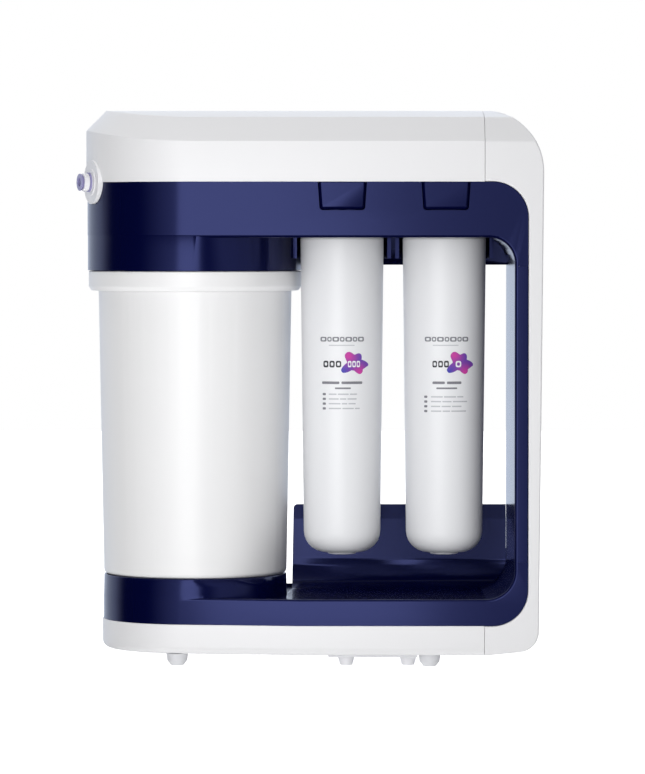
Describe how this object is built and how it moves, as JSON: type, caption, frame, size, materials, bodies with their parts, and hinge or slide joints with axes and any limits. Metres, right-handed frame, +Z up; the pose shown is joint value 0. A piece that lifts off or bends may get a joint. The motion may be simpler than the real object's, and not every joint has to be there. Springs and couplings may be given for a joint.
{
  "type": "reverse osmosis unit",
  "caption": "Compact under-sink reverse osmosis water unit with a storage tank, twin hanging filter cartridges, push-fit tube ports and a C-shaped casing.",
  "frame": {"origin": "middle of the object's box in X and Y, at the soles of the feet", "axes": "+Z up, -Y the front with the cartridges and release buttons, -X the rounded end with the storage tank and the tube ports"},
  "size_m": [0.3481, 0.164, 0.414],
  "materials": {
    "white_cover": "white satin moulding",
    "blue_housing": "dark blue glossy moulding",
    "tank_white": "white satin moulding",
    "cartridge_white": "white satin moulding with a printed label",
    "cap_white": "white moulding",
    "fitting_white": "white moulding",
    "collet_violet": "translucent violet moulding",
    "foot_grey": "light grey rubber",
    "dark_moulding": "dark blue-black moulding",
    "grey_acetal": "grey moulding",
    "black_rubber": "black rubber",
    "membrane_film": "wound film",
    "carbon": "pressed carbon",
    "spring_steel": "bright steel",
    "water_tube": "translucent white tube"
  },
  "bodies": {
    "housing": {"top_cover": "white_cover", "side_cover": "white_cover", "base_cover": "white_cover", "head_housing": "blue_housing", "column_liner": "blue_housing", "base_tray": "blue_housing", "tank_shell": "tank_white", "tank_collar": "tank_white", "tank_lid": "tank_white", "port_body_feed": "fitting_white", "port_body_drain": "fitting_white", "port_body_product": "fitting_white", "tank_stem": "fitting_white", "underside_plate": "fitting_white", "port_rings": "collet_violet", "feet": "foot_grey", "filter_head_left": "dark_moulding", "filter_head_right": "dark_moulding", "manifold": "dark_moulding", "shutoff_valve_body": "dark_moulding", "shutoff_valve_cap": "dark_moulding", "check_valve_body": "dark_moulding", "flow_restrictor": "dark_moulding", "valve_clips": "dark_moulding", "tank_seal": "black_rubber", "tank_bladder": "black_rubber", "tube_seals": "black_rubber", "button_spring_left": "spring_steel", "button_spring_right": "spring_steel", "head_screws": "spring_steel", "feed_tube": "water_tube", "drain_tube": "water_tube", "product_tube": "water_tube"},
    "button_left": {"release_button_left": "blue_housing"},
    "button_right": {"release_button_right": "blue_housing"},
    "rotor_left": {"valve_rotor_left": "grey_acetal"},
    "rotor_right": {"valve_rotor_right": "grey_acetal"},
    "cartridge_left": {"cartridge_shell_left": "cartridge_white", "cartridge_cap_left": "cap_white", "neck_seals_left": "black_rubber", "membrane_roll": "membrane_film", "membrane_core_tube": "grey_acetal", "membrane_brine_seal": "black_rubber"},
    "cartridge_right": {"cartridge_shell_right": "cartridge_white", "cartridge_cap_right": "cap_white", "neck_seals_right": "black_rubber", "carbon_block": "carbon", "carbon_end_caps": "grey_acetal"},
    "collet_feed": {"port_collet_feed": "collet_violet"},
    "collet_drain": {"port_collet_drain": "collet_violet"},
    "collet_product": {"port_collet_product": "collet_violet"},
    "piston": {"shutoff_piston": "grey_acetal"},
    "poppet": {"check_valve_poppet": "grey_acetal"}
  },
  "joints": [
    {"name": "button_left_press", "type": "slide", "parent": "housing", "child": "button_left", "axis": [0, 1, 0], "range_m": [0, 0.003], "stiffness_N_per_m": 500, "springref_m": -0.002, "deforming": ["button_spring_left"]},
    {"name": "cartridge_left_turn", "type": "hinge", "parent": "housing", "child": "rotor_left", "pos_m": [0.025, -0.0322, 0.335], "axis": [0, 0, 1], "range_deg": [0, 90]},
    {"name": "cartridge_left_drop", "type": "slide", "parent": "rotor_left", "child": "cartridge_left", "axis": [0, 0, -1], "range_m": [0, 0.01201]},
    {"name": "button_right_press", "type": "slide", "parent": "housing", "child": "button_right", "axis": [0, 1, 0], "range_m": [0, 0.003], "stiffness_N_per_m": 500, "springref_m": -0.002, "deforming": ["button_spring_right"]},
    {"name": "cartridge_right_turn", "type": "hinge", "parent": "housing", "child": "rotor_right", "pos_m": [0.1016, -0.0322, 0.335], "axis": [0, 0, 1], "range_deg": [0, 90]},
    {"name": "cartridge_right_drop", "type": "slide", "parent": "rotor_right", "child": "cartridge_right", "axis": [0, 0, -1], "range_m": [0, 0.01201]},
    {"name": "collet_feed_release", "type": "slide", "parent": "housing", "child": "collet_feed", "axis": [-0.9272, -0.3746, 0], "range_m": [-0.0012, 0]},
    {"name": "collet_drain_release", "type": "slide", "parent": "housing", "child": "collet_drain", "axis": [-0.9272, 0.3746, 0], "range_m": [-0.0012, 0]},
    {"name": "collet_product_release", "type": "slide", "parent": "housing", "child": "collet_product", "axis": [-0.5736, 0.8192, 0], "range_m": [-0.0012, 0]},
    {"name": "shutoff_piston_lift", "type": "slide", "parent": "housing", "child": "piston", "axis": [0, 0, 1], "range_m": [-0.0015, 0.0015], "stiffness_N_per_m": 800},
    {"name": "check_poppet_open", "type": "slide", "parent": "housing", "child": "poppet", "axis": [1, 0, 0], "range_m": [0, 0.002], "stiffness_N_per_m": 60, "springref_m": -0.001}
  ],
  "couplings": [
    {"joint": "cartridge_left_drop", "follows": "cartridge_left_turn", "m_per_rad": 0.0076394},
    {"joint": "cartridge_right_drop", "follows": "cartridge_right_turn", "m_per_rad": 0.0076394}
  ]
}
